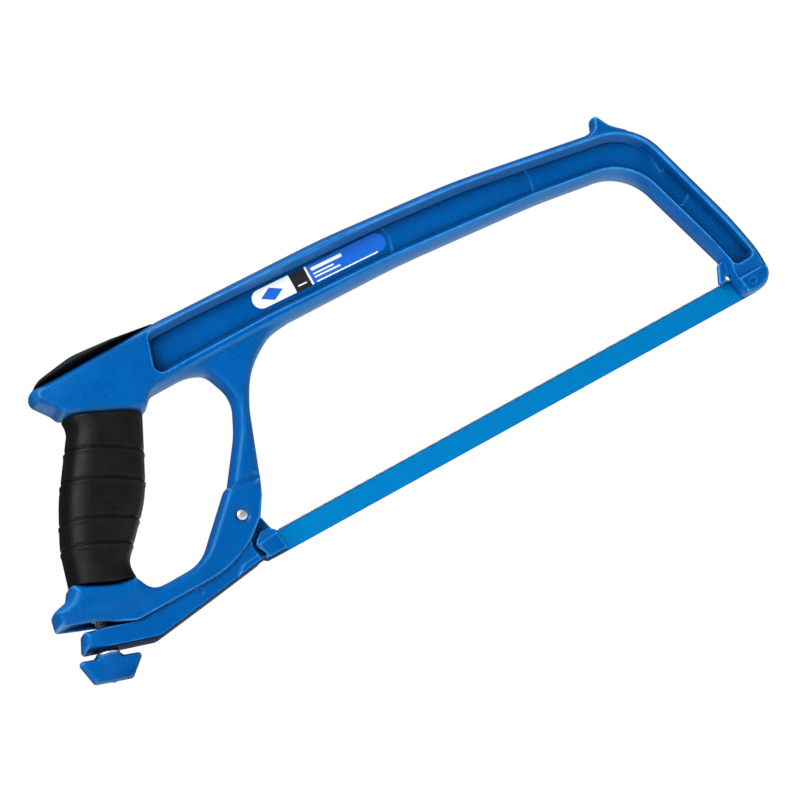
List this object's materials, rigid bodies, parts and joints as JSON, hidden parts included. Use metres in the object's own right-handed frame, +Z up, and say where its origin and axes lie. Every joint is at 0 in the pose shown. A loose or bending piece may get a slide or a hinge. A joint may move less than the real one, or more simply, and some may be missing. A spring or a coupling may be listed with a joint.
{
  "type": "hacksaw",
  "caption": "High-tension hacksaw: cast bow frame with closed rubber grip, storage hook, and a lever tightened by a thumb knob that stretches a straight blade.",
  "frame": {"origin": "centre of the whole saw's box at rest", "axes": "+X forward along the blade, +Z up from the blade to the beam, +Y across the saw, away from the side the holders close"},
  "size_m": [0.4372, 0.029, 0.1638],
  "materials": {
    "blue_powder_coat": "satin powder coat",
    "grip_rubber": "matte moulded rubber",
    "pad_rubber": "semi-matte moulded rubber",
    "zinc_plate": "bright zinc",
    "steel": "turned",
    "bronze": "sintered",
    "blade_paint": "gloss enamel",
    "label_film": "printed film"
  },
  "bodies": {
    "bow": {"frame": "blue_powder_coat", "grip_sleeve": "grip_rubber", "palm_pad": "pad_rubber", "pivot_screw": "zinc_plate", "pivot_barrel": "zinc_plate", "pivot_washer_near": "steel", "pivot_washer_far": "steel", "threaded_insert": "steel", "front_blade_pin": "steel", "front_angle_pin": "steel", "side_label_near": "label_film", "side_label_far": "label_film"},
    "lever": {"tension_lever": "blue_powder_coat", "pivot_bush": "bronze", "rear_blade_pin": "steel"},
    "blade": {"saw_blade": "blade_paint"},
    "washer": {"thrust_washer": "zinc_plate"},
    "knob": {"tension_screw": "zinc_plate", "thumb_knob": "blue_powder_coat", "knob_cross_pin": "steel"}
  },
  "joints": [
    {"name": "lever_pivot", "type": "hinge", "parent": "bow", "child": "lever", "pos_m": [-0.10182, 0, -0.03582], "axis": [0, -1, 0], "range_deg": [0, 4]},
    {"name": "blade_pivot", "type": "hinge", "parent": "lever", "child": "blade", "pos_m": [-0.09521, 0, -0.05632], "axis": [0, -1, 0], "range_deg": [-4.2, 0]},
    {"name": "washer_slide", "type": "slide", "parent": "bow", "child": "washer", "axis": [-0.3007, 0, -0.9537], "range_m": [0, 0.00659]},
    {"name": "knob_spin", "type": "hinge", "parent": "washer", "child": "knob", "pos_m": [-0.20022, 0, -0.06382], "axis": [-0.3007, 0, -0.9537], "range_deg": [0, 2376]}
  ],
  "couplings": [
    {"joint": "lever_pivot", "follows": "washer_slide", "rad_per_m": 10.556},
    {"joint": "blade_pivot", "follows": "washer_slide", "rad_per_m": -10.813},
    {"joint": "knob_spin", "follows": "washer_slide", "rad_per_m": 6283.2}
  ]
}
